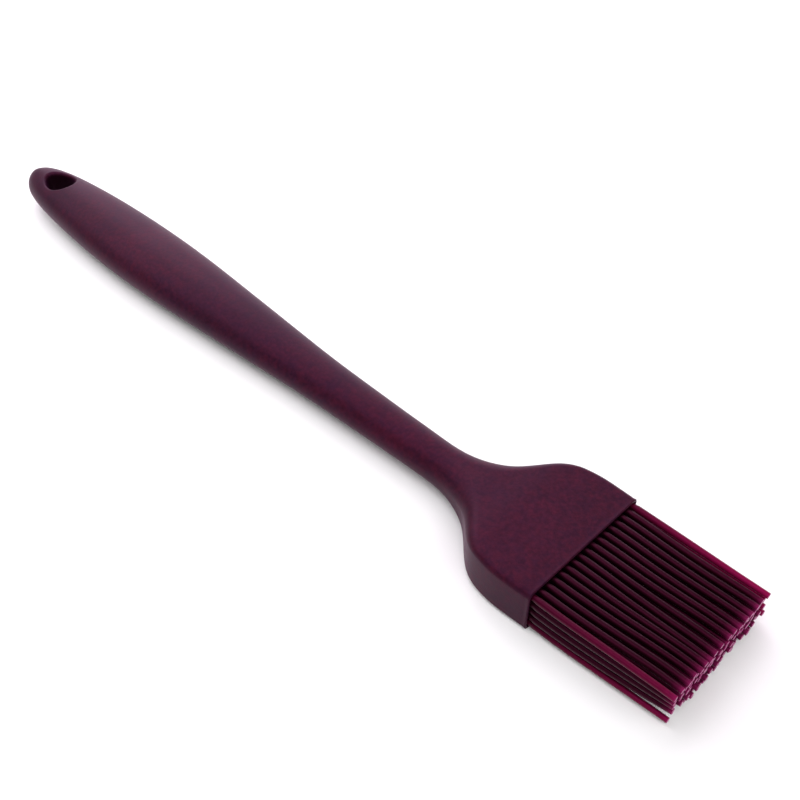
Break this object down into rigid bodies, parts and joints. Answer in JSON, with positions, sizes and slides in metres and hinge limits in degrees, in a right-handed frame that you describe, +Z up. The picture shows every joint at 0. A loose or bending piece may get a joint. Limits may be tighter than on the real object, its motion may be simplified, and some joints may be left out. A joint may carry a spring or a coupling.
{
  "type": "pastry brush",
  "caption": "Silicone pastry brush with a slim moulded handle, flat flared head, hang hole and a dense block of soft round bristles in rows.",
  "frame": {"origin": "centre of the whole brush's footprint, on the surface it lies on", "axes": "+X along the brush towards the bristle tips, +Y across the head, +Z up from the surface the brush lies on"},
  "size_m": [0.2682, 0.041, 0.0142],
  "materials": {
    "matte_silicone": "matte moulded",
    "bristle_silicone": "semi-gloss, slightly translucent",
    "core_nylon": "moulded"
  },
  "bodies": {
    "root": {"silicone_body": "matte_silicone", "handle_core": "core_nylon", "bristle_block": "bristle_silicone"},
    "row_1": {"bristle_row_1": "bristle_silicone"},
    "row_2": {"bristle_row_2": "bristle_silicone"},
    "row_3": {"bristle_row_3": "bristle_silicone"},
    "row_4": {"bristle_row_4": "bristle_silicone"},
    "row_5": {"bristle_row_5": "bristle_silicone"}
  },
  "joints": [
    {"name": "row_3_bend", "type": "hinge", "parent": "root", "child": "row_3", "pos_m": [0.09833, 0, 0.00655], "axis": [0, 1, 0], "range_deg": [-30, 30], "stiffness_Nm_per_rad": 0.006},
    {"name": "row_1_bend", "type": "hinge", "parent": "root", "child": "row_1", "pos_m": [0.09833, 0, 0.0113], "axis": [0, 1, 0], "range_deg": [-30, 30], "stiffness_Nm_per_rad": 0.006},
    {"name": "row_2_bend", "type": "hinge", "parent": "root", "child": "row_2", "pos_m": [0.09833, 0, 0.00893], "axis": [0, 1, 0], "range_deg": [-30, 30], "stiffness_Nm_per_rad": 0.006},
    {"name": "row_4_bend", "type": "hinge", "parent": "root", "child": "row_4", "pos_m": [0.09833, 0, 0.00417], "axis": [0, 1, 0], "range_deg": [-30, 30], "stiffness_Nm_per_rad": 0.006},
    {"name": "row_5_bend", "type": "hinge", "parent": "root", "child": "row_5", "pos_m": [0.09833, 0, 0.0018], "axis": [0, 1, 0], "range_deg": [-30, 30], "stiffness_Nm_per_rad": 0.006}
  ],
  "couplings": [
    {"joint": "row_1_bend", "follows": "row_3_bend", "ratio": 1},
    {"joint": "row_2_bend", "follows": "row_3_bend", "ratio": 1},
    {"joint": "row_4_bend", "follows": "row_3_bend", "ratio": 1},
    {"joint": "row_5_bend", "follows": "row_3_bend", "ratio": 1}
  ]
}
